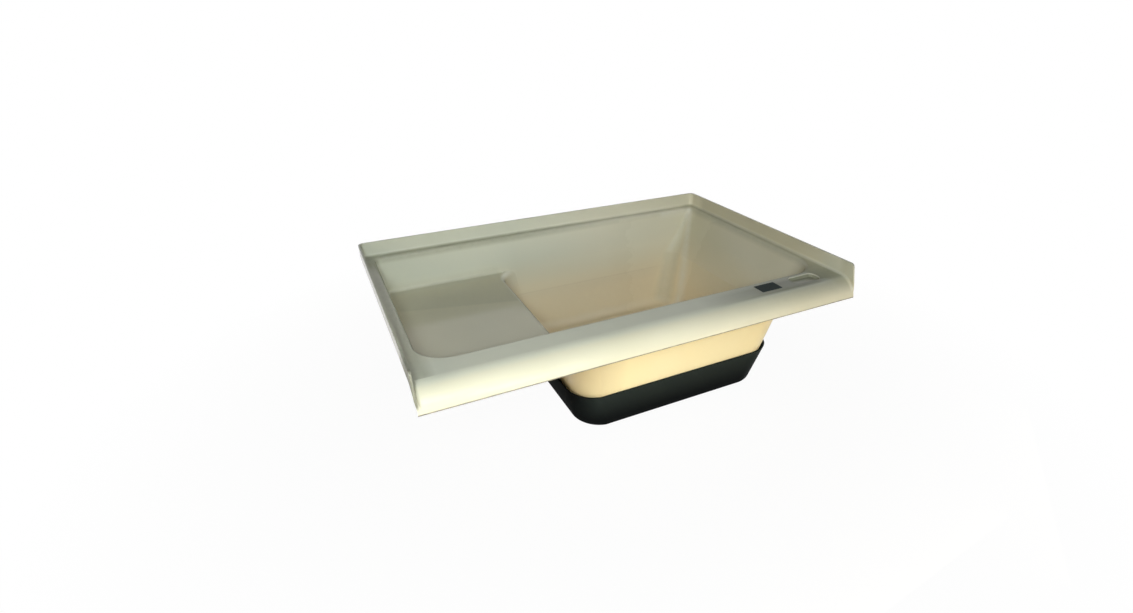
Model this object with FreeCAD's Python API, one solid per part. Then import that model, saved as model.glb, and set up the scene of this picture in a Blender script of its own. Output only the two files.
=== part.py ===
import FreeCAD, Part
import math
import os

V = FreeCAD.Vector

# Alcove bathtub formed from one plastic sheet, with a seat at its left end.
# X runs along the tub, Y from the rolled front to the back wall, Z up.
# Built from the front left corner with Z = 0 at the foot of the pan.
# The finished pieces are then moved so that the origin is the middle of the foot.

# Overall sizes in millimetres
length = 914.4
width = 609.6
sheet = 4.0
overrun = 5.0

# Upright flange along the back and both ends
flange_rise = 33.0
flange_corner = 14.0
flange_cove = 6.0
flange_lean = 12.0
flange_nose = 8.0

# Rolled front, trimmed a little short of a quarter turn
roll_radius = 42.0
roll_drop = 38.5

# Deck between the outer edges and the mouth of the bowl
front_deck = 88.0
back_deck = 23.5
left_deck = 28.0
right_deck = 19.5
mouth_roll = 7.0

# Bowl levels below the deck, and drafts in degrees
belt_depth = 60.0
shoulder_depth = 118.0
floor_depth = 262.0
front_draft = 10.2
back_draft = 6.8
left_draft = 6.8
backrest_draft = 26.6
lower_end_draft = 13.5
floor_fillet = 25.0

# Corner radii of the bowl, from the mouth down
front_left_corner = 60.0
front_right_corner_mouth = 66.0
front_right_corner_floor = 58.0
back_right_corner_mouth = 10.0
back_right_corner_belt = 14.0
back_right_corner_shoulder = 38.0
back_right_corner_floor = 50.0
back_left_corner = 12.0

# Seat, and the well that drops from its edge
seat_depth = 86.0
seat_length = 311.0
seat_wall_draft = 10.8
seat_nose = 12.0
seat_cove = 8.0
well_front_corner = 58.0
well_back_corner = 55.0
well_margin = 1.5

# Soap dish moulded into the deck at the front right
dish_from_end = 54.4
dish_from_roll = 1.5
dish_length = 72.0
dish_width = 35.0
dish_depth = 7.0
dish_corner = 13.0
dish_taper = 4.0
dish_fillet = 3.0
dish_edge = 1.0

# Bare name tag on the front deck
tag_from_end = 163.4
tag_from_roll = 3.1
tag_length = 51.0
tag_width = 30.0
tag_thickness = 0.4
tag_corner = 1.5

# Support pan bonded round the foot of the well
pan_height = 90.0
pan_wall = 3.7
pan_gap = 0.3
pan_flare = 6.0
pan_foot_radius = 13.0
pan_hole_radius = 45.0

# Boards hidden under the floor and the seat
core_inset = 3.0
core_clearance = 1.0
stiffener_thickness = 12.0
stiffener_inset = 3.0
stiffener_corner = 10.0

# Drain fitting in the floor
drain_from_end = 95.0
recess_radius = 44.0
recess_depth = 3.0
drain_hole_radius = 26.5
drain_flange_radius = 38.0
drain_flange_thickness = 2.0
drain_flange_edge = 0.8
shank_radius = 26.0
shank_clearance = 2.0
thread_end = 3.0
outlet_radius = 19.25
outlet_length = 10.0
bar_width = 4.0
bar_height = 3.0
seat_top_radius = 23.5
seat_foot_radius = 21.5
thread_clearance = 0.15
gasket_radius = 36.0
gasket_thickness = 3.0
washer_thickness = 1.0
nut_thickness = 9.0
nut_radius = 33.0
nut_lug_radius = 37.0
nut_lug_width = 8.0
nut_lugs = 6

# Rubber stopper with a moulded finger tab
stopper_gap = 0.3
stopper_lift = 1.0
tab_width = 16.0
tab_height = 13.0
tab_thickness = 4.0
tab_hole_radius = 3.5

# Heights stacked up from the foot, through the drain's clamped pieces
nut_foot = shank_clearance + thread_end
nut_top = nut_foot + nut_thickness
washer_top = nut_top + washer_thickness
gasket_top = washer_top + gasket_thickness
recess_height = gasket_top + sheet
floor_height = recess_height + recess_depth
deck_height = floor_height + floor_depth
flange_top = deck_height + flange_rise
lip_height = deck_height - roll_drop
seat_height = deck_height - seat_depth


def slope(degrees):
    return math.tan(math.radians(degrees))


def height_of(depth):
    return deck_height - depth


# Straight line between two values over a range of depth
def between(depth, upper, lower, upper_value, lower_value):
    share = min(max((depth - upper) / (lower - upper), 0), 1)
    return upper_value + share * (lower_value - upper_value)


def front_wall(depth):
    return front_deck + depth * slope(front_draft)


def back_wall(depth):
    return width - back_deck - depth * slope(back_draft)


def left_wall(depth):
    return left_deck + depth * slope(left_draft)


def right_wall(depth):
    above = min(depth, shoulder_depth)
    below = max(depth - shoulder_depth, 0)
    return length - right_deck - above * slope(backrest_draft) - below * slope(lower_end_draft)


def seat_wall(depth):
    return seat_length + (depth - seat_depth) * slope(seat_wall_draft)


def front_right_corner(depth):
    return between(depth, 0, floor_depth, front_right_corner_mouth, front_right_corner_floor)


def back_right_corner(depth):
    if depth < belt_depth:
        return between(depth, 0, belt_depth, back_right_corner_mouth, back_right_corner_belt)
    if depth < shoulder_depth:
        return between(depth, belt_depth, shoulder_depth, back_right_corner_belt,
                       back_right_corner_shoulder)
    return between(depth, shoulder_depth, floor_depth, back_right_corner_shoulder,
                   back_right_corner_floor)


# Quarter circle about a centre, from a start angle in degrees
def quarter(cx, cy, radius, start, z):
    points = []
    for step in range(3):
        turn = math.radians(start + 45 * step)
        points.append(V(cx + radius * math.cos(turn), cy + radius * math.sin(turn), z))
    return points


# A section is x0, x1, y0, y1, z and four corner radii, from the front left
# corner round to the back left. A radius of zero leaves that corner square.
def corner_points(section):
    x0, x1, y0, y1, z, corners = section
    a, b, c, d = corners
    return [quarter(x0 + a, y0 + a, a, 180, z), quarter(x1 - b, y0 + b, b, 270, z),
            quarter(x1 - c, y1 - c, c, 0, z), quarter(x0 + d, y1 - d, d, 90, z)]


def arc(points):
    return Part.Arc(points[0], points[1], points[2]).toShape()


def rounded(section):
    rows = corner_points(section)
    edges = []
    for radius, here, there in zip(section[5], rows, rows[1:] + rows[:1]):
        if radius > 0:
            edges.append(arc(here))
        edges.append(Part.LineSegment(here[2], there[0]).toShape())
    return Part.Wire(edges)


# Solid between stacked sections, with plane walls and ruled corners
def drafted(sections):
    faces = [Part.Face(rounded(sections[0])), Part.Face(rounded(sections[-1]))]
    for upper, lower in zip(sections, sections[1:]):
        above = corner_points(upper)
        below = corner_points(lower)
        for index in range(4):
            following = (index + 1) % 4
            if upper[5][index] > 0:
                faces.append(Part.makeRuledSurface(arc(above[index]), arc(below[index])))
            wall = [above[index][2], above[following][0], below[following][0], below[index][2]]
            faces.append(Part.Face(Part.makePolygon(wall + wall[:1])))
    shell = Part.makeShell(faces)
    shell.sewShape()
    solid = Part.makeSolid(shell)
    if solid.Volume < 0:
        solid.reverse()
    return solid.removeSplitter()


def slab(wire, height):
    return Part.Face(wire).extrude(V(0, 0, height))


def box(x0, x1, y0, y1, z0, z1):
    return Part.makeBox(x1 - x0, y1 - y0, z1 - z0, V(x0, y0, z0))


def edges_at(shape, z):
    near = sheet / 400
    found = []
    for edge in shape.Edges:
        reach = edge.BoundBox
        if abs(reach.ZMin - z) < near and abs(reach.ZMax - z) < near:
            found.append(edge)
    return found


def bowl_section(depth, grow):
    corners = [front_left_corner + grow, front_right_corner(depth) + grow,
               back_right_corner(depth) + grow, back_left_corner + grow]
    return (left_wall(depth) - grow, right_wall(depth) + grow, front_wall(depth) - grow,
            back_wall(depth) + grow, height_of(depth), corners)


# Bowl grown outwards by an even amount. Below the seat it stops short at the left,
# inside the block that fills it there.
def bowl(grow, top, bottom, fillet):
    between_ends = [d for d in (belt_depth, shoulder_depth) if top < d < bottom]
    body = drafted([bowl_section(d, grow) for d in [top] + between_ends + [bottom]])
    stop = seat_length / 2
    body = body.cut(box(-length, stop, -width, 2 * width, height_of(bottom) - overrun,
                        height_of(max(seat_depth + grow, top - overrun))))
    foot = [e for e in edges_at(body, height_of(bottom)) if e.BoundBox.XMax > stop + sheet]
    return body.makeFillet(fillet, foot)


def well_section(depth, grow, spread):
    side = grow + spread
    corners = [well_front_corner + side, 0, 0, well_back_corner + side]
    return (seat_wall(depth) - side, length + 2 * overrun,
            front_wall(depth) - well_margin - side, back_wall(depth) + well_margin + side,
            height_of(depth), corners)


# Well alone, open past the right end, where the bowl's own wall closes it
def well(grow, top, bottom, fillet):
    body = drafted([well_section(top, grow, 0), well_section(bottom, grow, 0)])
    end = length + overrun
    foot = [e for e in edges_at(body, height_of(bottom)) if e.BoundBox.XMin < end]
    return body.makeFillet(fillet, foot)


# Block that fills the bowl under the seat, with the seat's rounded nose
def seat_block(grow):
    top = seat_depth + grow
    bottom = floor_depth + grow
    block = box(-overrun, length + overrun, 0, width, height_of(bottom) - overrun, height_of(top))
    block = block.cut(well(grow, top, bottom, floor_fillet + grow))
    nose = []
    for edge in edges_at(block, height_of(top)):
        reach = edge.BoundBox
        inside = reach.YMin > sheet / 2 and reach.YMax < width - sheet / 2
        if inside and reach.XMin > sheet and reach.XMin < length:
            nose.append(edge)
    return block.makeFillet(seat_nose - grow, nose)


# Ring of the bowl that is left over where the seat curves up into the walls
def cove_ring(grow):
    radius = seat_cove + grow
    bottom = seat_depth + grow
    tiny = sheet / 20
    body = drafted([bowl_section(d, grow + tiny) for d in (bottom - 2 * radius, bottom)])
    body = body.makeFillet(radius, edges_at(body, height_of(bottom)))
    ring = box(0, length, 0, width, height_of(bottom), height_of(bottom) + radius)
    ring = ring.cut(body)
    nose = seat_nose - grow
    low = well_section(bottom, grow, nose)
    high = well_section(bottom, grow, nose + radius)
    mouth = drafted([high[:4] + (high[4] + radius,) + high[5:], low])
    return ring.cut(mouth)


def cavity(grow, top):
    bottom = floor_depth + grow
    return bowl(grow, top, bottom, floor_fillet + grow).cut(seat_block(grow)).cut(cove_ring(grow))


roll_centre = math.sqrt(roll_radius ** 2 - (roll_radius - roll_drop) ** 2)


# Point of the roll's section, as an angle up from the front
def roll_point(x, radius, degrees):
    turn = math.radians(degrees)
    y = roll_centre - radius * math.cos(turn)
    return V(x, y, deck_height - roll_radius + radius * math.sin(turn))


def trim_angle(radius):
    return math.degrees(math.asin((roll_radius - roll_drop) / radius))


# Deck sheet with its rolled front, as one section drawn along the tub
def deck():
    inner = roll_radius - sheet
    outer_low = trim_angle(roll_radius)
    inner_low = trim_angle(inner)
    a = roll_point(0, roll_radius, outer_low)
    b = roll_point(0, roll_radius, (outer_low + 90) / 2)
    c = roll_point(0, roll_radius, 90)
    d = V(0, width, deck_height)
    e = V(0, width, deck_height - sheet)
    f = roll_point(0, inner, 90)
    g = roll_point(0, inner, (inner_low + 90) / 2)
    h = roll_point(0, inner, inner_low)
    edges = [Part.Arc(a, b, c).toShape(), Part.LineSegment(c, d).toShape(),
             Part.LineSegment(d, e).toShape(), Part.LineSegment(e, f).toShape(),
             Part.Arc(f, g, h).toShape(), Part.LineSegment(h, a).toShape()]
    return Part.Face(Part.Wire(edges)).extrude(V(length, 0, 0))


front_setback = (flange_top - lip_height) * slope(flange_lean)


# Side view of the flange, following the roll down to its lip, with a leaning front edge
def flange_side():
    inner = roll_radius - sheet
    low = trim_angle(inner)
    foot = roll_point(0, inner, low)
    middle = roll_point(0, inner, (low + 90) / 2)
    points = [roll_point(0, inner, 90), V(0, width, deck_height - sheet), V(0, width, flange_top),
              V(0, front_setback, flange_top), V(0, 0, lip_height), foot]
    edges = [Part.Arc(foot, middle, points[0]).toShape()]
    for here, there in zip(points, points[1:]):
        edges.append(Part.LineSegment(here, there).toShape())
    return Part.Face(Part.Wire(edges)).extrude(V(length, 0, 0))


def flange_plan(inset, corner, z):
    x0 = inset
    x1 = length - inset
    y1 = width - inset
    right = quarter(x1 - corner, y1 - corner, corner, 0, z)
    left = quarter(x0 + corner, y1 - corner, corner, 90, z)
    front_left = V(x0, -inset, z)
    front_right = V(x1, -inset, z)
    edges = [Part.LineSegment(front_left, front_right).toShape(),
             Part.LineSegment(front_right, right[0]).toShape(),
             Part.Arc(right[0], right[1], right[2]).toShape(),
             Part.LineSegment(right[2], left[0]).toShape(),
             Part.Arc(left[0], left[1], left[2]).toShape(),
             Part.LineSegment(left[2], front_left).toShape()]
    return Part.Wire(edges)


def flange():
    rise = flange_top - lip_height
    inner = slab(flange_plan(sheet, flange_corner - sheet, lip_height - overrun),
                 rise + 2 * overrun)
    plate = flange_side().cut(inner)
    nose = []
    for edge in edges_at(plate, flange_top):
        reach = edge.BoundBox
        if reach.YMax < front_setback + sheet / 2:
            nose.append(edge)
    return plate.makeFillet(flange_nose, nose)


# Cove where the flange meets the deck, carried round the roll at both ends
def cove_bars():
    r = flange_cove
    mid = r * (1 - math.sqrt(0.5))
    bars = []
    for side, way in ((sheet, 1), (length - sheet, -1)):
        corner = V(side, roll_centre, deck_height)
        start = V(side + way * r, roll_centre, deck_height)
        middle = V(side + way * mid, roll_centre, deck_height + mid)
        end = V(side, roll_centre, deck_height + r)
        edges = [Part.LineSegment(corner, start).toShape(), Part.Arc(start, middle, end).toShape(),
                 Part.LineSegment(end, corner).toShape()]
        bars.append(round_roll(Part.Face(Part.Wire(edges))).common(flange_side()))
    return bars


# Section turned about the roll's axis, from the deck down past the lip
def round_roll(face):
    return face.revolve(V(0, roll_centre, deck_height - roll_radius), V(1, 0, 0), 90)


# What the bend takes off the outer corner at the flange's foot, in a plane across the tub
def bend_face(side, way, y):
    r = flange_cove + sheet
    mid = r * (1 - math.sqrt(0.5))
    foot = deck_height - sheet
    beyond = side - way * overrun
    upper = V(side, y, foot + r)
    lower = V(side + way * r, y, foot)
    edges = [Part.Arc(upper, V(side + way * mid, y, foot + mid), lower).toShape()]
    points = [lower, V(lower.x, y, foot - overrun), V(beyond, y, foot - overrun),
              V(beyond, y, foot + r), upper]
    for here, there in zip(points, points[1:]):
        edges.append(Part.LineSegment(here, there).toShape())
    return Part.Face(Part.Wire(edges))


# The same bend all the way round: both roll ends, both sides, the back and its corners
def bend_bars():
    bars = []
    turn_y = width - flange_corner
    for side, way in ((0, 1), (length, -1)):
        start = bend_face(side, way, roll_centre)
        bars.append(round_roll(start))
        bars.append(start.extrude(V(0, turn_y - roll_centre, 0)))
        centre = V(side + way * flange_corner, turn_y, 0)
        bars.append(bend_face(side, way, turn_y).revolve(centre, V(0, 0, 1), -90 * way))
    back = bend_face(0, 1, turn_y)
    back.rotate(V(flange_corner, turn_y, 0), V(0, 0, 1), -90)
    bars.append(back.extrude(V(length - 2 * flange_corner, 0, 0)))
    return bars


dish_left = length - dish_from_end - dish_length
dish_front = roll_centre + dish_from_roll


# Soap dish as a tapered tray, grown outwards by an even amount
def dish(grow, top):
    depth = dish_depth + grow
    x1 = dish_left + dish_length
    y1 = dish_front + dish_width
    corner = dish_corner - dish_taper + grow
    upper = (dish_left - grow, x1 + grow, dish_front - grow, y1 + grow, top,
             [dish_corner + grow] * 4)
    lower = (dish_left + dish_taper - grow, x1 - dish_taper + grow,
             dish_front + dish_taper - grow, y1 - dish_taper + grow,
             deck_height - depth, [corner] * 4)
    body = drafted([upper, lower])
    return body.makeFillet(dish_fillet + grow, edges_at(body, deck_height - depth))


drain_x = right_wall(floor_depth) - drain_from_end
drain_y = (front_wall(floor_depth) + back_wall(floor_depth)) / 2


def disc(radius, z0, z1):
    return Part.makeCylinder(radius, z1 - z0, V(drain_x, drain_y, z0))


def tub_shell():
    plan = slab(flange_plan(0, flange_corner, lip_height - overrun),
                flange_top - lip_height + 2 * overrun)
    back = box(sheet, length - sheet, roll_centre, width, deck_height - sheet, deck_height)
    rim = flange().fuse(back).removeSplitter()
    foot = [e for e in edges_at(rim, deck_height) if e.BoundBox.YMax > roll_centre + sheet]
    rim = rim.makeFillet(flange_cove, foot)
    rim = rim.fuse([deck()] + cove_bars()).common(plan).cut(bend_bars())
    outer = cavity(sheet, sheet / 2)
    rim = rim.fuse([outer, dish(sheet, deck_height - sheet / 2)])
    rim = rim.fuse(disc(recess_radius + sheet, recess_height - sheet, floor_height - sheet / 2))
    inner = cavity(0, -overrun)
    rim = rim.cut(inner).removeSplitter()
    mouth = []
    for edge in edges_at(rim, deck_height):
        reach = edge.BoundBox
        inside = reach.YMin > front_deck - sheet and reach.YMax < width - back_deck + sheet
        if inside and reach.XMin > left_deck - sheet and reach.XMax < length - right_deck + sheet:
            mouth.append(edge)
    rim = rim.makeFillet(mouth_roll, mouth)
    rim = rim.cut(dish(0, deck_height + overrun))
    brim = []
    for edge in edges_at(rim, deck_height):
        reach = edge.BoundBox
        across = dish_left - sheet < reach.XMin and reach.XMax < dish_left + dish_length + sheet
        if across and reach.YMin > roll_centre + dish_from_roll / 2 and reach.YMax < front_deck:
            brim.append(edge)
    rim = rim.makeChamfer(dish_edge, brim)
    rim = rim.cut(disc(recess_radius, recess_height, floor_height + sheet))
    return rim.cut(disc(drain_hole_radius, recess_height - 2 * sheet, floor_height))


def blank_label():
    tag_left = length - tag_from_end - tag_length
    tag_front = roll_centre + tag_from_roll
    outline = rounded((tag_left, tag_left + tag_length, tag_front, tag_front + tag_width,
                       deck_height, [tag_corner] * 4))
    return slab(outline, tag_thickness)


# The pan's two blanks, one for its sides and one for its left end, each with its foot
# edges. Both ends flare out a little more than the well towards the rim.
def pan_blanks(grow, top, bottom):
    sides = []
    ends = []
    for depth in (top, bottom):
        flare = pan_flare * height_of(depth) / pan_height
        side = bowl_section(depth, grow)
        sides.append((side[0], side[1] + flare) + side[2:])
        end = well_section(depth, grow, 0)
        ends.append((end[0] - flare,) + end[1:])
    blanks = []
    for body in (drafted(sides), drafted(ends)):
        foot = [e for e in edges_at(body, height_of(bottom)) if e.BoundBox.XMin < length]
        blanks.append((body, foot))
    return blanks


# Pan: the well's own form, one gap and one wall further out, with a flat foot
def support_pan():
    gap = sheet + pan_gap
    rim = deck_height - pan_height
    outer = [body.makeFillet(pan_foot_radius, foot)
             for body, foot in pan_blanks(gap + pan_wall, rim, deck_height)]
    inner = [body.makeChamfer(pan_foot_radius - pan_wall, foot)
             for body, foot in pan_blanks(gap, rim - overrun, deck_height - pan_wall)]
    pan = outer[0].common(outer[1]).cut(inner[0].common(inner[1]))
    return pan.cut(disc(pan_hole_radius, -overrun, pan_wall + overrun))


# Board that carries the flat of the floor down to the pan
def floor_core():
    inset = floor_fillet + core_inset
    corner = well_front_corner - inset
    outline = rounded((seat_wall(floor_depth) + inset, right_wall(floor_depth) - inset,
                       front_wall(floor_depth) + inset, back_wall(floor_depth) - inset,
                       pan_wall, [corner] * 4))
    board = slab(outline, floor_height - sheet - pan_wall)
    return board.cut(disc(recess_radius + sheet + core_clearance, 0, floor_height))


# Board bonded under the seat
def seat_stiffener():
    inset = seat_cove + stiffener_inset
    top = seat_height - sheet
    outline = rounded((left_wall(seat_depth) + inset, seat_length - seat_nose - stiffener_inset,
                       front_wall(seat_depth) + inset, back_wall(seat_depth) - inset,
                       top - stiffener_thickness,
                       [front_left_corner - inset, stiffener_corner, stiffener_corner,
                        stiffener_corner]))
    return slab(outline, stiffener_thickness)


# Solid of revolution about the drain's axis from radius and height pairs
def turned(pairs):
    points = [V(drain_x + r, drain_y, z) for r, z in pairs]
    face = Part.Face(Part.makePolygon(points + points[:1]))
    return face.revolve(V(drain_x, drain_y, 0), V(0, 0, 1), 360)


def drain_body():
    top = recess_height + drain_flange_thickness
    ledge = shank_clearance + outlet_length
    edge = drain_flange_edge
    pairs = [(shank_radius, shank_clearance), (shank_radius, recess_height),
             (drain_flange_radius, recess_height), (drain_flange_radius, top - edge),
             (drain_flange_radius - edge, top), (seat_top_radius, top),
             (seat_foot_radius, ledge + bar_height), (outlet_radius, ledge),
             (outlet_radius, shank_clearance)]
    body = turned(pairs)
    reach = seat_foot_radius + thread_clearance / 2
    for turn in (0, 90):
        bar = box(drain_x - reach, drain_x + reach, drain_y - bar_width / 2,
                  drain_y + bar_width / 2, ledge, ledge + bar_height)
        bar.rotate(V(drain_x, drain_y, 0), V(0, 0, 1), turn)
        body = body.fuse(bar)
    return body.removeSplitter()


def ring(outer, z0, z1):
    return disc(outer, z0, z1).cut(disc(shank_radius + thread_clearance, z0, z1))


def drain_gasket():
    return ring(gasket_radius, washer_top, gasket_top)


def friction_washer():
    return ring(gasket_radius, nut_top, washer_top)


def drain_locknut():
    foot = nut_foot
    nut = disc(nut_radius, foot, nut_top)
    for index in range(nut_lugs):
        lug = box(drain_x, drain_x + nut_lug_radius, drain_y - nut_lug_width / 2,
                  drain_y + nut_lug_width / 2, foot, nut_top)
        lug.rotate(V(drain_x, drain_y, 0), V(0, 0, 1), 360 * index / nut_lugs)
        nut = nut.fuse(lug)
    return nut.cut(disc(shank_radius + thread_clearance, foot, nut_top)).removeSplitter()


# Tapered plug that stops the drain, with a tab to pull it by
def drain_stopper():
    top = recess_height + drain_flange_thickness
    foot = shank_clearance + outlet_length + bar_height + stopper_lift
    crown = top + stopper_lift
    taper = (seat_top_radius - seat_foot_radius) / (top - shank_clearance - outlet_length
                                                    - bar_height)
    head = seat_top_radius - stopper_gap
    plug = turned([(0, foot), (head - taper * (top - foot), foot), (head, top), (head, crown),
                   (0, crown)])
    x0 = drain_x - tab_width / 2
    x1 = drain_x + tab_width / 2
    arch = tab_width / 2
    spring = crown + tab_height - arch
    y = drain_y - tab_thickness / 2
    edges = [Part.LineSegment(V(x0, y, crown - stopper_lift), V(x1, y, crown - stopper_lift)).toShape(),
             Part.LineSegment(V(x1, y, crown - stopper_lift), V(x1, y, spring)).toShape(),
             Part.Arc(V(x1, y, spring), V(drain_x, y, spring + arch), V(x0, y, spring)).toShape(),
             Part.LineSegment(V(x0, y, spring), V(x0, y, crown - stopper_lift)).toShape()]
    tab = Part.Face(Part.Wire(edges)).extrude(V(0, tab_thickness, 0))
    hole = Part.makeCylinder(tab_hole_radius, tab_thickness, V(drain_x, y, spring), V(0, 1, 0))
    return plug.fuse(tab.cut(hole)).removeSplitter()


pieces = {
    "tub_shell": tub_shell,
    "support_pan": support_pan,
    "floor_core": floor_core,
    "seat_stiffener": seat_stiffener,
    "blank_label": blank_label,
    "drain_body": drain_body,
    "drain_gasket": drain_gasket,
    "friction_washer": friction_washer,
    "drain_locknut": drain_locknut,
    "drain_stopper": drain_stopper,
}

os.makedirs("parts", exist_ok=True)
for name, make in pieces.items():
    shape = make()
    shape.translate(V(-length / 2, -width / 2, 0))
    if len(shape.Solids) == 1:
        shape = shape.Solids[0]
    shape.exportStep("parts/" + name + ".step")
    extent = shape.optimalBoundingBox(True, False)
    print(name, "solids", len(shape.Solids), "valid", shape.isValid(),
          "volume", round(shape.Volume), "x", round(extent.XMin, 2), round(extent.XMax, 2),
          "y", round(extent.YMin, 2), round(extent.YMax, 2),
          "z", round(extent.ZMin, 2), round(extent.ZMax, 2))
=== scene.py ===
import bpy
import math
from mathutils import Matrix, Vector


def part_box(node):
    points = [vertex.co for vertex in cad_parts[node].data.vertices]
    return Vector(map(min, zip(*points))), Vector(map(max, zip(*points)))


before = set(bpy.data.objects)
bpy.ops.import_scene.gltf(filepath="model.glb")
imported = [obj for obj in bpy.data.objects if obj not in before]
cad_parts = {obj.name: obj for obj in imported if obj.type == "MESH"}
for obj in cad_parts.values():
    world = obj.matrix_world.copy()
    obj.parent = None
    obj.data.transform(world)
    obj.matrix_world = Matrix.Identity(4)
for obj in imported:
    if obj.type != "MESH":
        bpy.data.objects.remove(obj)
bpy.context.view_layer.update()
bpy.ops.object.select_all(action="DESELECT")
print("frame loaded:", len(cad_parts), "pieces")


# a socket that takes part in plain arithmetic
class Signal:
    def __init__(self, board, socket):
        self.board = board
        self.socket = socket

    def __add__(self, other):
        return self.board.maths("ADD", self, other)

    def __radd__(self, other):
        return self.board.maths("ADD", other, self)

    def __sub__(self, other):
        return self.board.maths("SUBTRACT", self, other)

    def __rsub__(self, other):
        return self.board.maths("SUBTRACT", other, self)

    def __mul__(self, other):
        return self.board.maths("MULTIPLY", self, other)

    def __rmul__(self, other):
        return self.board.maths("MULTIPLY", other, self)


# the node tree of one material, or of the world
class Board:
    def __init__(self, owner, shader="Principled BSDF", end="Material Output"):
        owner.use_nodes = True
        self.owner = owner
        self.tree = owner.node_tree
        self.shader = self.tree.nodes[shader]
        self.end = self.tree.nodes[end]

    def add(self, kind, settings=None, values=None, out=0):
        node = self.tree.nodes.new(kind)
        for key, value in (settings or {}).items():
            setattr(node, key, value)
        for key, value in (values or {}).items():
            self.feed(node.inputs[key], value)
        return Signal(self, node.outputs[out])

    def feed(self, socket, value):
        if isinstance(value, Signal):
            self.tree.links.new(value.socket, socket)
        else:
            socket.default_value = value

    def set(self, **values):
        for key, value in values.items():
            self.feed(self.shader.inputs[key.replace("_", " ")], value)

    def place(self):
        return self.add("ShaderNodeTexCoord", out="Object")

    def part(self, vector, axis):
        return self.add("ShaderNodeSeparateXYZ", None, {0: vector}, out=axis)

    def axis(self, name):
        return self.part(self.place(), name)

    def noise(self, scale, detail=3.0, rough=0.5, at=None):
        return self.add("ShaderNodeTexNoise", None,
                        {"Vector": at or self.place(), "Scale": scale, "Detail": detail,
                         "Roughness": rough})

    def ramp(self, signal, low, high, start=0.0, end=1.0):
        return self.add("ShaderNodeMapRange", {"clamp": True},
                        {"Value": signal, "From Min": low, "From Max": high,
                         "To Min": start, "To Max": end})

    def mixColour(self, share, first, second):
        return self.add("ShaderNodeMix", {"data_type": "RGBA"},
                        {"Factor": share, 6: first, 7: second}, out=2)

    def bump(self, height, strength, distance, under=None):
        values = {"Height": height, "Strength": strength, "Distance": distance}
        if under:
            values["Normal"] = under
        return self.add("ShaderNodeBump", None, values)

    def maths(self, operation, first, second):
        return self.add("ShaderNodeMath", {"operation": operation}, {0: first, 1: second})

    def vector(self, operation, first, second, out="Vector"):
        return self.add("ShaderNodeVectorMath", {"operation": operation},
                        {0: first, 1: second}, out=out)

    def peak(self, first, *others):
        for other in others:
            first = self.maths("MAXIMUM", first, other)
        return first


def newFinish(name):
    return Board(bpy.data.materials.new(name))


def colour(red, green, blue):
    # screen values from 0 to 255, turned into linear light
    out = []
    for part in (red, green, blue):
        share = part / 255
        out.append(share / 12.92 if share < 0.04045 else ((share + 0.055) / 1.055) ** 2.4)
    return (*out, 1.0)


def dress(names, material):
    for name in names:
        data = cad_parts[name].data
        data.materials.clear()
        data.materials.append(material)


# sizes of the tub, in metres, from which its own lines follow
tubSize = {"flangeRise": 0.033, "rollDrop": 0.0385, "seatDepth": 0.086, "waterDepth": 0.156,
           "seatLength": 0.311, "dishFromEnd": 0.0544, "dishFromFront": 0.0435,
           "dishLength": 0.072, "dishWidth": 0.035}
tubLow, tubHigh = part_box("tub_shell")
leftEnd = tubLow.x
rightEnd = tubHigh.x
front = tubLow.y
rear = tubHigh.y
deck = tubHigh.z - tubSize["flangeRise"]
lip = deck - tubSize["rollDrop"]
seat = deck - tubSize["seatDepth"]
water = deck - tubSize["waterDepth"]
seatEnd = leftEnd + tubSize["seatLength"]
dishLeft = rightEnd - tubSize["dishFromEnd"] - tubSize["dishLength"]
dishFront = front + tubSize["dishFromFront"]
dishRear = dishFront + tubSize["dishWidth"]

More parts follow.
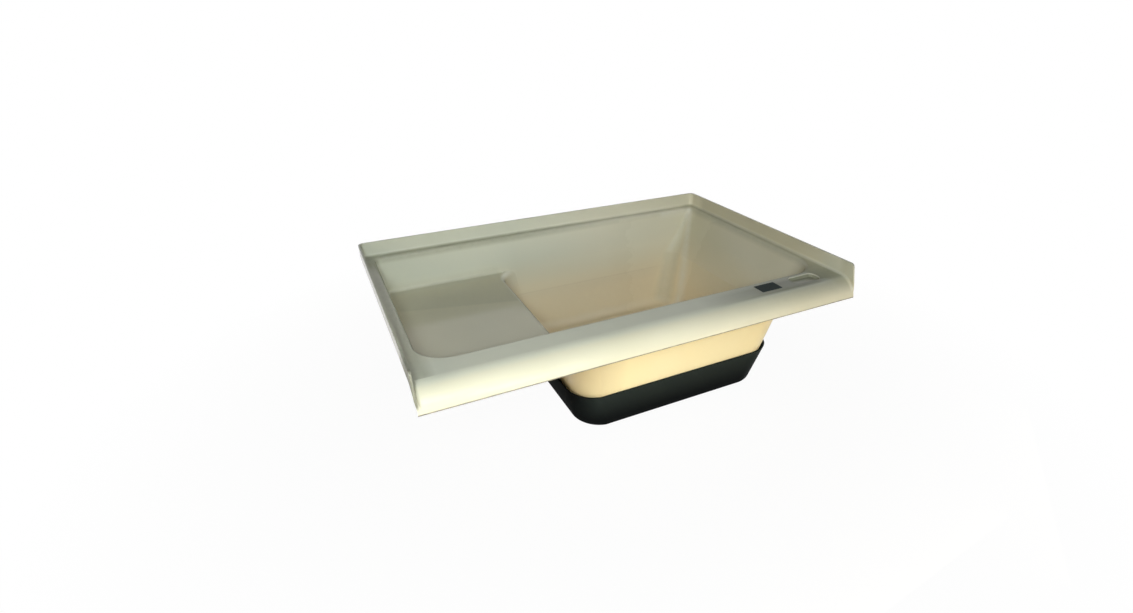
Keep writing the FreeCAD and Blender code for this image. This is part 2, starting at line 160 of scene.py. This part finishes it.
# Each mark on the tub is the product of its ramps. A ramp gives the signal it reads, where
# it begins, where it ends, and its shares there where they aren't 0 and 1. Height is in
# metres above the foot, along and across are in metres from the tub's middle.
tubMarks = {
    # painted shade along the foot of the flange, over the mouth's roll and on the left end of the
    # flange
    "shadeFoot": [("height", deck - 0.016, deck - 0.005), ("height", deck + 0.004, deck + 0.001)],
    "shadeLeft": [("along", leftEnd + 0.0452, leftEnd + 0.0272, 0.0, 0.64)],
    "shadeRear": [("across", rear - 0.0428, rear - 0.0308), ("along", -0.1, 0.25, 0.8, 0.12)],
    "shadeRight": [("along", rightEnd - 0.0572, rightEnd - 0.0272, 0.0, 0.5)],
    "shadeEdge": [("along", leftEnd + 0.0112, leftEnd + 0.0037, 0.0, 0.72),
                 ("height", deck - 0.03, deck - 0.02)],
    # the same painted shade over the deck by the dish, deepest in front of it, and in the dish
    "shadeDeck": [("upward", 0.85, 0.99), ("height", deck - 0.002, deck - 0.0005),
                 ("along", 0.1, 0.3), ("across", 0.0, -0.2, 0.0, 0.6)],
    "paintedShadeDeep": [("upward", 0.85, 0.99), ("height", deck - 0.002, deck - 0.0005),
                  ("along", 0.1, 0.3), ("across", dishRear + 0.0113, dishRear - 0.0137),
                  ("along", rightEnd - 0.0472, rightEnd - 0.0772, 0.25, 1.0)],
    "dish": [("height", deck - 0.0005, deck - 0.003), ("height", deck - 0.009, deck - 0.0075),
             ("along", dishLeft - 0.0058, dishLeft + 0.0022),
             ("across", dishRear + 0.0163, dishRear + 0.0063),
             ("across", dishFront - 0.0022, dishFront - 0.0002)],
    # and over the roll's crest at the right and the backrest's corner; over the rear of the seat it
    # is a painted dark reflection
    "seatReflection": [("slant", 0.053, 0.062, 0.0, 0.22), ("height", seat - 0.004, seat - 0.001),
                 ("height", seat + 0.02, seat + 0.002),
                 ("along", seatEnd + 0.0062, seatEnd - 0.0038)],
    "shadeCrest": [("across", front + 0.0498, front + 0.0348), ("along", 0.05, 0.35, 0.0, 0.4),
                  ("height", deck - 0.025, deck - 0.011)],
    "shadeCorner": [("turning", 0.06, 0.4, 0.0, 0.42), ("along", 0.22, 0.28),
                   ("across", rear - 0.2048, rear - 0.1648),
                   ("height", deck - 0.001, deck - 0.02)],
    # painted light along the nose of the seat, on its faces turned towards the well
    "noseLight": [("height", seat - 0.014, seat - 0.004), ("height", seat + 0.002, seat + 0.0005),
             ("along", seatEnd - 0.0198, seatEnd + 0.0002),
             ("along", seatEnd + 0.0362, seatEnd + 0.0162), ("sideways", 0.05, 0.4)],
    # painted shadow line of the front rim across the back wall, darker below it
    "rimShadowLine": [("height", water - 0.002, water), ("height", water + 0.004, water)],
    "rimShadowBelow": [("height", water + 0.001, water - 0.004, 0.0, 0.5)],
    "rimShadowReach": [("across", rear - 0.1048, rear - 0.0748), ("along", 0.36, 0.3)],
    # how far the painted highlight by the backrest reaches
    "glintReach": [("along", 0.33, 0.345), ("height", deck - 0.001, deck - 0.006)],
    # the corner by the backrest has lost its gloss
    "dull": [("along", 0.05, 0.36), ("across", rear - 0.2048, rear - 0.0848),
             ("height", deck + 0.001, deck - 0.004)],
    # painted warm bounce light, deeper in the well
    "warmBounce": [("height", deck - 0.052, deck - 0.187)],
    # painted cool light high on the back wall and its flange, and on the front deck
    "coolLightRear": [("along", 0.5, 0.0), ("across", rear - 0.0648, rear - 0.0328),
                 ("height", deck - 0.137, deck - 0.057)],
    "coolLightFront": [("across", front + 0.1148, front + 0.0748),
                  ("height", deck - 0.005, deck - 0.001, 0.0, 0.7)],
    # painted light: the back wall is a little paler towards its right end
    "paintedLight": [("along", -0.1, 0.15), ("across", rear - 0.0648, rear - 0.0428),
               ("height", deck - 0.157, deck - 0.087, 0.0, 0.5)],
    # the bare back of the sheet, below the lip and below the deck, with a painted shadow towards the
    # seat end
    "belowLip": [("height", lip + 0.003, lip - 0.001)],
    "belowDeck": [("height", deck - 0.002, deck - 0.006),
                  ("across", dishRear + 0.0043, dishRear + 0.0113)],
    "backShadow": [("along", -0.03, -0.125, 0.0, 0.9)],
    # painted shadow line along the lower edge of the front lip, and painted shade on the end of the
    # flange
    "cutLip": [("height", lip + 0.0024, lip + 0.0012), ("across", front + 0.0148, front + 0.0048)],
    "cutEnd": [("along", leftEnd + 0.0057, leftEnd + 0.0037, 0.0, 0.75),
               ("across", front + 0.1048, front + 0.0548),
               ("height", lip + 0.0075, lip + 0.0155)]}

# The middle of the painted highlight streak leans back as it climbs. Between two heights the
# streak narrows from one half width to another, and it is full within its core.
glintRun = {"foot": 0.064, "bend": 0.155, "top": 0.284, "atFoot": 0.1864, "atBend": 0.2037,
           "bendToTop": 0.0723, "wide": (0.1, 0.28, 0.03, 0.013), "core": 0.004}

# noises are given as scale, detail and roughness, bumps as strength and distance
tubFinish = {"body": colour(220, 215, 188), "pale": colour(226, 221, 196),
             "deep": colour(238, 222, 188), "deepPale": colour(243, 228, 195),
             "coolLight": colour(218, 219, 200), "paintedLight": colour(250, 244, 220),
             "back": colour(252, 232, 178), "backPale": colour(253, 236, 187),
             "backShadow": colour(206, 184, 138), "paintedShade": colour(170, 170, 144),
             "paintedShadeDeep": colour(134, 135, 110), "noseLit": colour(255, 252, 238),
             "rimShadowTint": colour(150, 118, 70), "glint": colour(246, 244, 232),
             "cut": colour(92, 90, 80), "rimShadowShare": 0.12, "glintShare": 0.6,
             "dishShade": 0.8, "dishShadeDeep": 0.7,
             "patchy": {"paintedShade": 0.2, "noseLight": 0.4, "rimShadow": 0.3, "glint": 0.4, "cut": 0.4},
             "cloud": (3.5, 2.0), "cloudSpan": (0.35, 0.65),
             "blotch": (70.0, 4.0, 0.6), "blotchSpan": (0.3, 0.7),
             "smear": (26.0, 5.0, 0.6), "smearSpan": (0.35, 0.75),
             "peel": (420.0, 2.0), "peelBump": (0.05, 0.0004),
             "wave": (9.0, 1.0), "waveBump": (0.12, 0.004),
             "rough": 0.07, "roughSmear": 0.07, "roughBack": 0.3, "roughShade": 0.1,
             "roughEdgeShade": 0.4, "roughDull": 0.3, "shine": 0.35, "ior": 1.49,
             "middle": (0.11, 0.04, 0.0), "outerSpan": (0.0, 0.02), "slant": 0.25}


# what the marks on the tub are worked out from
def readTub(board):
    facing = board.add("ShaderNodeTexCoord", out="Normal")
    along = board.axis("X")
    across = board.axis("Y")
    sideways = board.part(facing, "X")
    # a face that turns away from the well's middle, as seen from above, is on the outside
    away = board.vector("SUBTRACT", board.place(), tubFinish["middle"])
    level = board.vector("MULTIPLY", away, (1, 1, 0))
    turned = board.vector("DOT_PRODUCT", level, facing, "Value")
    outer = board.ramp(turned, *tubFinish["outerSpan"])
    return {"height": board.axis("Z"), "along": along, "across": across,
            "upward": board.part(facing, "Z"), "sideways": sideways,
            "turning": sideways * board.part(facing, "Y"),
            "slant": across + tubFinish["slant"] * along,
            "outer": outer, "inner": 1.0 - outer}


# how strongly a mark shows, from 0 to 1
def mark(at, name):
    shown = None
    for source, *limits in tubMarks[name]:
        step = at[source].board.ramp(at[source], *limits)
        shown = shown * step if shown else step
    return shown


# a painted mark broken up by noise
def breakUp(shown, blotch, name):
    depth = tubFinish["patchy"][name]
    return shown * (1.0 - depth + depth * blotch)


# painted shade over the deck strips, the dish, the roll's crest, the backrest's corner and the left
# flange, and a painted dark reflection on the rear of the seat
def makeShade(board, at, blotch):
    ends = board.peak(mark(at, "shadeLeft"), mark(at, "shadeRear"), mark(at, "shadeRight"))
    foot = mark(at, "shadeFoot") * ends * at["inner"]
    corner = mark(at, "shadeCorner") * at["inner"]
    dish = mark(at, "dish")
    paintedShade = board.peak(foot, corner, mark(at, "shadeEdge"), mark(at, "shadeDeck"),
                      mark(at, "seatReflection"), mark(at, "shadeCrest"), dish * tubFinish["dishShade"])
    deepShade = board.peak(mark(at, "paintedShadeDeep"), dish * tubFinish["dishShadeDeep"])
    return breakUp(paintedShade, blotch, "paintedShade"), deepShade


# a painted highlight streak down the corner by the backrest
def makeGlint(board, at):
    run = glintRun
    middle = (board.ramp(at["height"], run["foot"], run["bend"], run["atFoot"], run["atBend"])
              + board.ramp(at["height"], run["bend"], run["top"], 0.0, run["bendToTop"]))
    aside = board.add("ShaderNodeMath", {"operation": "ABSOLUTE"}, {0: at["across"] - middle})
    wide = board.ramp(at["height"], *run["wide"])
    return board.ramp(aside, wide, run["core"]) * mark(at, "glintReach")


def makeTubColour(board, at, blotch, outside, cut, paintedShade, deepShade):
    cloud = board.ramp(board.noise(*tubFinish["cloud"]), *tubFinish["cloudSpan"])
    face = board.mixColour(cloud, tubFinish["body"], tubFinish["pale"])
    deep = board.mixColour(cloud, tubFinish["deep"], tubFinish["deepPale"])
    back = board.mixColour(cloud, tubFinish["back"], tubFinish["backPale"])
    # painted warm bounce light deeper in the well
    face = board.mixColour(mark(at, "warmBounce"), face, deep)
    # painted cool light on the back wall, its flange and the front deck
    coolLight = board.peak(mark(at, "coolLightRear"), mark(at, "coolLightFront"))
    # painted shadow line of the front rim
    rimShadow = (mark(at, "rimShadowLine") + mark(at, "rimShadowBelow")) * mark(at, "rimShadowReach")
    # painted light and shade laid over the face: cool light, a paler right end of the back wall,
    # shade and a dark reflection, a lit line on the seat's nose, the rim's shadow line and a
    # highlight by the backrest
    layers = [("coolLight", coolLight), ("paintedLight", mark(at, "paintedLight")), ("paintedShade", paintedShade),
              ("paintedShadeDeep", deepShade), ("noseLit", breakUp(mark(at, "noseLight"), blotch, "noseLight")),
              ("rimShadowTint", breakUp(rimShadow, blotch, "rimShadow") * tubFinish["rimShadowShare"]),
              ("glint", breakUp(makeGlint(board, at), blotch, "glint") * tubFinish["glintShare"])]
    for name, shown in layers:
        face = board.mixColour(shown, face, tubFinish[name])
    # painted shadow on the outside of the well towards the seat end
    back = board.mixColour(mark(at, "backShadow"), back, tubFinish["backShadow"])
    base = board.mixColour(outside, face, back)
    # painted shadow along the front lip and painted shade on the flange's end
    return board.mixColour(breakUp(cut, blotch, "cut"), base, tubFinish["cut"])


def makeTubFinish():
    board = newFinish("parchmentGloss")
    at = readTub(board)
    blotch = board.ramp(board.noise(*tubFinish["blotch"]), *tubFinish["blotchSpan"])
    outside = at["outer"] * board.peak(mark(at, "belowLip"), mark(at, "belowDeck"))
    # painted shadow along the front lip and painted shade on the flange's end
    cut = board.peak(mark(at, "cutLip"), mark(at, "cutEnd"))
    # painted shade, and the painted dark reflection on the seat
    paintedShade, deepShade = makeShade(board, at, blotch)
    smear = board.ramp(board.noise(*tubFinish["smear"]), *tubFinish["smearSpan"])
    rough = (tubFinish["rough"] + tubFinish["roughSmear"] * smear
             + tubFinish["roughBack"] * outside + tubFinish["roughShade"] * paintedShade
             + tubFinish["roughEdgeShade"] * cut + tubFinish["roughDull"] * mark(at, "dull"))
    peel = board.bump(board.noise(*tubFinish["peel"]), *tubFinish["peelBump"])
    skin = board.bump(board.noise(*tubFinish["wave"]), *tubFinish["waveBump"], under=peel)
    board.set(Base_Color=makeTubColour(board, at, blotch, outside, cut, paintedShade, deepShade),
              Roughness=rough, Normal=skin, IOR=tubFinish["ior"],
              Specular_IOR_Level=tubFinish["shine"])
    return board.owner


panFinish = {"body": colour(39, 45, 42), "dust": colour(46, 52, 48), "foot": colour(11, 14, 14),
             "shade": colour(13, 15, 15), "lowShadeFrom": 0.008, "lowShadeTo": 0.068,
             "endFrom": 0.049, "endTo": 0.007, "grain": (900.0, 2.0), "grainBump": (0.25, 0.0003),
             "cloud": (14.0, 6.0, 0.65), "dustSpan": (0.5, 0.8), "roughSpan": (0.3, 0.8),
             "rough": 0.5, "roughDust": 0.15, "roughEnd": 0.35, "shine": 0.1, "ior": 1.2}


def makePanFinish():
    board = newFinish("blackSatin")
    low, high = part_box("support_pan")
    cloud = board.noise(*panFinish["cloud"])
    dust = board.ramp(cloud, *panFinish["dustSpan"])
    base = board.mixColour(dust, panFinish["body"], panFinish["dust"])
    # painted shade: below its rim the pan darkens towards the foot
    lowShade = board.ramp(board.axis("Z"), high.z - panFinish["lowShadeFrom"], high.z - panFinish["lowShadeTo"])
    base = board.mixColour(lowShade, base, panFinish["foot"])
    # painted shade on the end below the seat, which is darker
    end = board.ramp(board.axis("X"), low.x + panFinish["endFrom"], low.x + panFinish["endTo"])
    base = board.mixColour(end, base, panFinish["shade"])
    rough = (panFinish["rough"] + panFinish["roughDust"] * board.ramp(cloud, *panFinish["roughSpan"])
             + panFinish["roughEnd"] * end)
    grain = board.bump(board.noise(*panFinish["grain"]), *panFinish["grainBump"])
    board.set(Base_Color=base, Roughness=rough, Normal=grain, IOR=panFinish["ior"],
              Specular_IOR_Level=panFinish["shine"])
    return board.owner


tagFinish = {"body": colour(38, 48, 47), "pale": colour(50, 60, 58), "grain": (700.0, 2.0),
             "span": (0.3, 0.8), "bump": (0.1, 0.0002), "rough": 0.4, "roughGrain": 0.08,
             "shine": 0.03}


def makeTagFinish():
    board = newFinish("slateFilm")
    grain = board.noise(*tagFinish["grain"])
    base = board.mixColour(board.ramp(grain, *tagFinish["span"]), tagFinish["body"],
                           tagFinish["pale"])
    board.set(Base_Color=base, Roughness=tagFinish["rough"] + tagFinish["roughGrain"] * grain,
              Normal=board.bump(grain, *tagFinish["bump"]),
              Specular_IOR_Level=tagFinish["shine"])
    return board.owner


drainFinish = {"body": colour(224, 220, 204), "pale": colour(234, 231, 218),
               "cloud": (60.0, 3.0), "grain": (800.0, 2.0), "bump": (0.08, 0.0002),
               "rough": 0.25, "roughCloud": 0.1}


def makeDrainFinish():
    board = newFinish("palePlastic")
    cloud = board.noise(*drainFinish["cloud"])
    base = board.mixColour(cloud, drainFinish["body"], drainFinish["pale"])
    grain = board.noise(*drainFinish["grain"])
    board.set(Base_Color=base, Roughness=drainFinish["rough"] + drainFinish["roughCloud"] * cloud,
              Normal=board.bump(grain, *drainFinish["bump"]))
    return board.owner


rubberFinish = {"body": colour(30, 30, 31), "bloom": colour(52, 51, 50), "cloud": (90.0, 4.0),
                "span": (0.3, 0.8), "grain": (1200.0, 2.0), "bump": (0.2, 0.0002),
                "rough": 0.6, "roughCloud": 0.2}


def makeRubberFinish():
    board = newFinish("sealRubber")
    cloud = board.noise(*rubberFinish["cloud"])
    base = board.mixColour(board.ramp(cloud, *rubberFinish["span"]), rubberFinish["body"],
                           rubberFinish["bloom"])
    grain = board.noise(*rubberFinish["grain"])
    board.set(Base_Color=base, Roughness=rubberFinish["rough"] + rubberFinish["roughCloud"] * cloud,
              Normal=board.bump(grain, *rubberFinish["bump"]))
    return board.owner


washerFinish = {"dark": colour(150, 132, 104), "light": colour(188, 172, 140),
                "fibre": (500.0, 5.0, 0.7), "bump": (0.3, 0.0003), "rough": 0.75,
                "roughFibre": 0.1}


def makeWasherFinish():
    board = newFinish("washerCard")
    fibre = board.noise(*washerFinish["fibre"])
    base = board.mixColour(fibre, washerFinish["dark"], washerFinish["light"])
    board.set(Base_Color=base, Roughness=washerFinish["rough"] + washerFinish["roughFibre"] * fibre,
              Normal=board.bump(fibre, *washerFinish["bump"]))
    return board.owner


boardFinish = {"light": colour(206, 178, 128), "dark": colour(158, 122, 76),
               "stretch": (0.12, 1.0, 1.0), "grain": (55.0, 6.0, 0.6), "span": (0.3, 0.7),
               "bump": (0.3, 0.0006), "rough": 0.7, "roughGrain": 0.15}


def makeBoardFinish():
    board = newFinish("panelBoard")
    stretched = board.add("ShaderNodeMapping", None,
                          {"Vector": board.place(), "Scale": boardFinish["stretch"]})
    grain = board.noise(*boardFinish["grain"], at=stretched)
    base = board.mixColour(board.ramp(grain, *boardFinish["span"]), boardFinish["light"],
                           boardFinish["dark"])
    board.set(Base_Color=base, Roughness=boardFinish["rough"] + boardFinish["roughGrain"] * grain,
              Normal=board.bump(grain, *boardFinish["bump"]))
    return board.owner


dress(["tub_shell"], makeTubFinish())
dress(["support_pan"], makePanFinish())
dress(["floor_core", "seat_stiffener"], makeBoardFinish())
dress(["blank_label"], makeTagFinish())
dress(["drain_body", "drain_locknut"], makeDrainFinish())
dress(["drain_gasket", "drain_stopper"], makeRubberFinish())
dress(["friction_washer"], makeWasherFinish())
print("finishes made")

room = {"floorSize": 60.0, "floorDrop": 0.0005, "floor": colour(236, 236, 236), "rough": 0.9,
        "white": (1, 1, 1, 1), "lift": 0.955, "near": 0.5, "far": 1.1, "air": 0.01,
        "airColour": (0.9, 1.0, 0.96, 1.0),
        "seenBy": ("Is Camera Ray", "Is Glossy Ray", "Is Transmission Ray")}


# plain white over a shader, where it is seen straight, mirrored or through something
def whiten(board, kind, lift):
    seen = board.peak(*(board.add("ShaderNodeLightPath", out=ray) for ray in room["seenBy"]))
    white = board.add(kind, None, {"Color": room["white"], "Strength": 1.0})
    own = Signal(board, board.shader.outputs[0])
    mixed = board.add("ShaderNodeMixShader", None, {0: seen * lift, 1: own, 2: white})
    board.feed(board.end.inputs["Surface"], mixed)


def makeFloor():
    bpy.ops.mesh.primitive_plane_add(size=room["floorSize"], location=(0, 0, -room["floorDrop"]))
    floor = bpy.context.object
    floor.name = "floor"
    board = newFinish("paleFloor")
    board.set(Base_Color=room["floor"], Roughness=room["rough"])
    # near the part the floor keeps a little of its own shade
    reach = board.add("ShaderNodeVectorMath", {"operation": "LENGTH"}, {0: board.place()},
                      out="Value")
    lift = board.ramp(reach, room["near"], room["far"], room["lift"], 1.0)
    whiten(board, "ShaderNodeEmission", lift)
    floor.data.materials.append(board.owner)


def makeAir():
    air = Board(bpy.data.worlds.new("studioAir"), "Background", "World Output")
    air.set(Color=room["airColour"], Strength=room["air"])
    whiten(air, "ShaderNodeBackground", 1.0)
    bpy.context.scene.world = air.owner


def addLamp(name, place, aim, size, power, tint, spread=180.0):
    data = bpy.data.lights.new(name, "AREA")
    data.shape = "RECTANGLE"
    data.size, data.size_y = size
    data.energy = power
    data.color = tint
    data.spread = math.radians(spread)
    lamp = bpy.data.objects.new(name, data)
    bpy.context.scene.collection.objects.link(lamp)
    lamp.location = place
    lamp.rotation_euler = (Vector(aim) - Vector(place)).to_track_quat("-Z", "Y").to_euler()


# soft lamps in watts: wide ones for all of it, a small one for the seat, and low ones for the
# roll and the outside of the well
lamps = [
    {"name": "frontHigh", "place": (-0.6, -2.6, 1.7), "aim": (0.0, 0.1, 0.2),
     "size": (1.6, 1.0), "power": 17.8, "tint": (0.9, 0.96, 1.0)},
    {"name": "front", "place": (-0.55, -1.2, 1.0), "aim": (0.0, 0.0, 0.2),
     "size": (0.5, 0.4), "power": 5.6, "tint": (0.94, 1.0, 0.99)},
    {"name": "seatSpot", "place": (-0.7, -1.1, 0.95), "aim": (-0.35, -0.1, 0.25),
     "size": (0.3, 0.3), "power": 0.6, "tint": (0.84, 0.95, 1.0), "spread": 70.0},
    {"name": "leftMid", "place": (-1.7, -0.7, 0.8), "aim": (0.0, 0.0, 0.2),
     "size": (0.7, 0.5), "power": 3.7, "tint": (1.0, 0.86, 0.7)},
    {"name": "bandLeft", "place": (-0.5, -1.1, 0.3), "aim": (-0.3, -0.3, 0.26),
     "size": (0.5, 0.2), "power": 0.52, "tint": (1.0, 0.99, 0.92)},
    {"name": "bandMid", "place": (-0.05, -1.1, 0.3), "aim": (-0.05, -0.3, 0.26),
     "size": (0.4, 0.2), "power": 0.5, "tint": (0.97, 0.99, 1.0)},
    {"name": "apronLeft", "place": (-0.65, -0.9, 0.3), "aim": (-0.38, -0.3, 0.27),
     "size": (0.3, 0.12), "power": 0.18, "tint": (1.0, 0.99, 0.94), "spread": 60.0},
    {"name": "apronMid", "place": (-0.05, -1.0, 0.42), "aim": (-0.05, -0.3, 0.26),
     "size": (0.4, 0.12), "power": 0.1, "tint": (0.97, 1.0, 1.0), "spread": 50.0},
    {"name": "underMid", "place": (0.15, -0.75, 0.03), "aim": (0.1, -0.17, 0.15),
     "size": (0.6, 0.2), "power": 0.9, "tint": (1.0, 0.82, 0.55)},
    {"name": "underRight", "place": (0.6, -0.7, 0.03), "aim": (0.2, -0.17, 0.13),
     "size": (0.5, 0.2), "power": 0.85, "tint": (1.0, 0.82, 0.55)}]

makeFloor()
makeAir()
for lamp in lamps:
    addLamp(**lamp)
print("studio made")

# where the photograph was taken from: metres, degrees, and millimetres of lens and sensor
view = {"place": (-0.5364, -1.0781, 0.8033), "tilt": 63.2, "turn": -26.9, "lens": 18.916,
        "sensor": 36.0, "shiftX": -0.0313, "shiftY": -0.0005, "near": 0.01}


def makeCamera():
    data = bpy.data.cameras.new("camera")
    data.sensor_width = view["sensor"]
    data.lens = view["lens"]
    data.shift_x = view["shiftX"]
    data.shift_y = view["shiftY"]
    data.clip_start = view["near"]
    camera = bpy.data.objects.new("camera", data)
    bpy.context.scene.collection.objects.link(camera)
    camera.location = view["place"]
    camera.rotation_euler = (math.radians(view["tilt"]), 0.0, math.radians(view["turn"]))
    bpy.context.scene.camera = camera


makeCamera()
bpy.context.scene.view_settings.view_transform = "Standard"
print("camera set")
